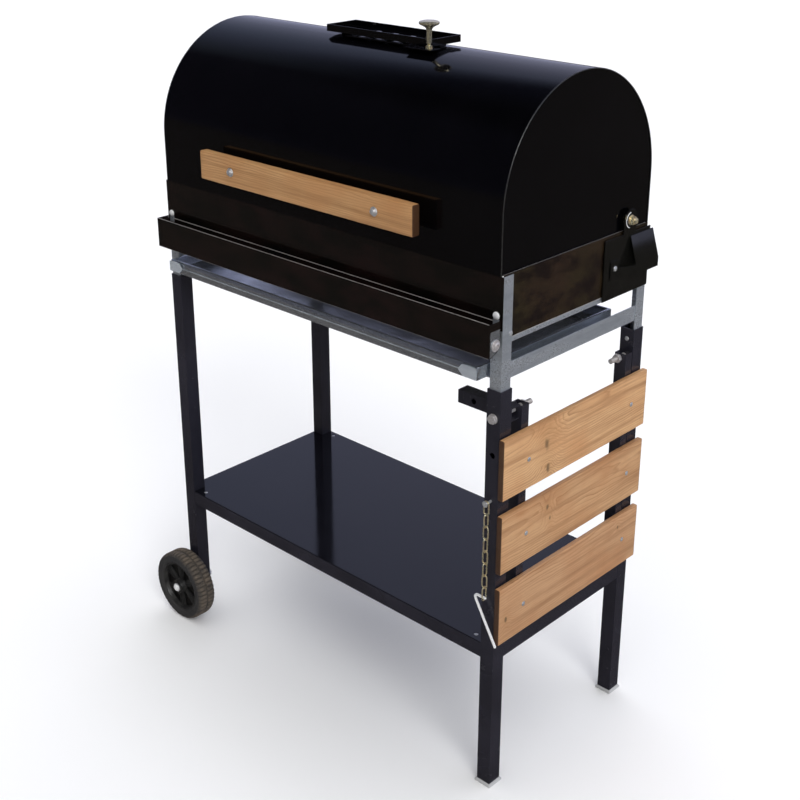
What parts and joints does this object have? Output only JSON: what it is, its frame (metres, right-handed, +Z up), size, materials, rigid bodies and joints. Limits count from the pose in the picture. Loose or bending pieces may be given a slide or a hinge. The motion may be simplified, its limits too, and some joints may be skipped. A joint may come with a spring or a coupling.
{
  "type": "barrel charcoal grill trolley",
  "caption": "Barrel-lid charcoal grill on a wheeled square-tube trolley with a lower shelf, slide-out ash tray, stoking flap, top vent and fold-down slatted side table.",
  "frame": {"origin": "middle of the outer box at the floor the trolley stands on", "axes": "+X along the barrel towards the folding side table, +Y away from the cook, +Z up"},
  "size_m": [0.979, 0.544, 1.386],
  "materials": {
    "lid_paint": "gloss black heat-proof paint",
    "frame_paint": "satin-gloss black powder coat",
    "galvanised": "dull blue-grey zinc-coated sheet",
    "wood": "oiled light-brown softwood with grain and knots",
    "brass": "turned brass, slightly dull",
    "zinc_bolt": "bright zinc plate",
    "yellow_zinc": "yellow-passivated zinc wire",
    "grate_steel": "nickel-plated rod",
    "coal_steel": "bare dark steel rod",
    "cap_plastic": "grey moulded plastic",
    "rim_plastic": "black moulded plastic",
    "tyre_rubber": "ribbed black rubber, dusty brown on the tread"
  },
  "bodies": {
    "stand": {"leg_front_right": "frame_paint", "leg_rear_right": "frame_paint", "leg_front_left": "frame_paint", "leg_rear_left": "frame_paint", "foot_caps": "cap_plastic", "leg_angle_front_right": "galvanised", "leg_angle_rear_right": "galvanised", "leg_angle_front_left": "galvanised", "leg_angle_rear_left": "galvanised", "shelf_rail_front": "frame_paint", "shelf_rail_rear": "frame_paint", "shelf_rail_right": "frame_paint", "shelf_rail_left": "frame_paint", "shelf_plate": "frame_paint", "end_panel_right": "lid_paint", "end_panel_left": "lid_paint", "front_panel": "lid_paint", "rear_panel": "lid_paint", "grate_ledge_front": "galvanised", "grate_ledge_rear": "galvanised", "charcoal_supports": "galvanised", "charcoal_grate": "coal_steel", "ash_rail_right": "galvanised", "ash_rail_left": "galvanised", "hinge_bracket_right": "lid_paint", "hinge_bracket_left": "lid_paint", "lid_stop_right": "lid_paint", "lid_stop_left": "lid_paint", "lid_pivots": "zinc_bolt", "flap_pivots": "zinc_bolt", "table_pivots": "zinc_bolt", "wheel_axles": "zinc_bolt", "frame_screws": "zinc_bolt"},
    "ash_drawer": {"ash_tray": "galvanised"},
    "flap": {"front_flap": "lid_paint"},
    "grate_half_left": {"cooking_grate_left": "grate_steel"},
    "grate_half_right": {"cooking_grate_right": "grate_steel"},
    "lid": {"lid_skin": "lid_paint", "lid_end_right": "lid_paint", "lid_end_left": "lid_paint", "handle_board": "wood", "handle_spacers": "frame_paint", "handle_bolts": "zinc_bolt", "vent_tray": "lid_paint", "vent_screws": "zinc_bolt"},
    "damper": {"vent_slider": "lid_paint", "vent_knob": "brass"},
    "side_table": {"table_arm_front": "frame_paint", "table_arm_rear": "frame_paint", "table_lever": "frame_paint", "slat_upper": "wood", "slat_middle": "wood", "slat_lower": "wood", "slat_screws": "zinc_bolt"},
    "wheel_front": {"tyre_front": "tyre_rubber", "rim_front": "rim_plastic"},
    "wheel_rear": {"tyre_rear": "tyre_rubber", "rim_rear": "rim_plastic"},
    "chain": {"lock_chain": "yellow_zinc"},
    "pin": {"lock_pin": "zinc_bolt"}
  },
  "joints": [
    {"name": "lid_hinge", "type": "hinge", "parent": "stand", "child": "lid", "pos_m": [0, 0.146, 1.044], "axis": [-1, 0, 0], "range_deg": [0, 90]},
    {"name": "vent_slide", "type": "slide", "parent": "lid", "child": "damper", "axis": [-1, 0, 0], "range_m": [0, 0.022]},
    {"name": "front_flap_hinge", "type": "hinge", "parent": "stand", "child": "flap", "pos_m": [0, -0.226, 0.909], "axis": [1, 0, 0], "range_deg": [0, 60]},
    {"name": "ash_tray_slide", "type": "slide", "parent": "stand", "child": "ash_drawer", "axis": [0, -1, 0], "range_m": [0, 0.32]},
    {"name": "grate_lift_left", "type": "slide", "parent": "stand", "child": "grate_half_left", "axis": [0, 0, 1], "range_m": [0, 0.1]},
    {"name": "grate_lift_right", "type": "slide", "parent": "stand", "child": "grate_half_right", "axis": [0, 0, 1], "range_m": [0, 0.1]},
    {"name": "side_table_fold", "type": "hinge", "parent": "stand", "child": "side_table", "pos_m": [0.4565, 0, 0.768], "axis": [0, -1, 0], "range_deg": [0, 90]},
    {"name": "wheel_front_spin", "type": "hinge", "parent": "stand", "child": "wheel_front", "pos_m": [-0.4095, -0.241, 0.08], "axis": [0, 1, 0], "continuous": true},
    {"name": "wheel_rear_spin", "type": "hinge", "parent": "stand", "child": "wheel_rear", "pos_m": [-0.4095, 0.241, 0.08], "axis": [0, 1, 0], "continuous": true},
    {"name": "chain_swing", "type": "hinge", "parent": "stand", "child": "chain", "pos_m": [0.4565, -0.224, 0.61], "axis": [0, 1, 0], "range_deg": [-15, 15]},
    {"name": "pin_swing", "type": "hinge", "parent": "chain", "child": "pin", "pos_m": [0.4565, -0.224, 0.4195], "axis": [0, 1, 0], "range_deg": [-25, 25]}
  ]
}
